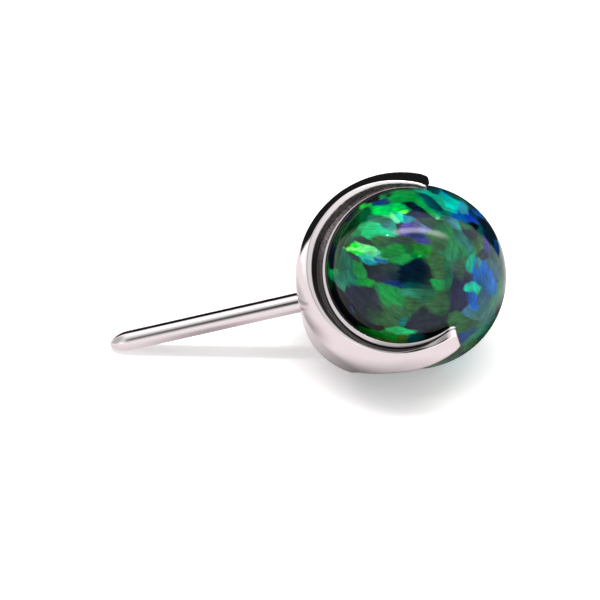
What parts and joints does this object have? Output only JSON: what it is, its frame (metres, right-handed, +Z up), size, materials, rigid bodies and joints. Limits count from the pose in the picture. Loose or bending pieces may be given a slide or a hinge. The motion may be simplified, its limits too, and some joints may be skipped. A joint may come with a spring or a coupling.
{
  "type": "threadless piercing end",
  "caption": "Opal ball held by a C-shaped metal claw setting, with a plain pin that pushes into a hollow piercing post.",
  "frame": {"origin": "on the surface that the piece lies on, under the middle of its length and width", "axes": "+Z up; +X from the pin's tip to the ball; the open face of the setting looks towards -Y and up"},
  "size_m": [0.0108, 0.0053, 0.0052],
  "materials": {
    "opal": "polished, with flashes of green, teal and blue",
    "setting_metal": "mirror polished, faintly pink",
    "pin_metal": "mirror polished"
  },
  "bodies": {
    "root": {"opal_ball": "opal", "setting": "setting_metal", "pin": "pin_metal"}
  },
  "joints": []
}
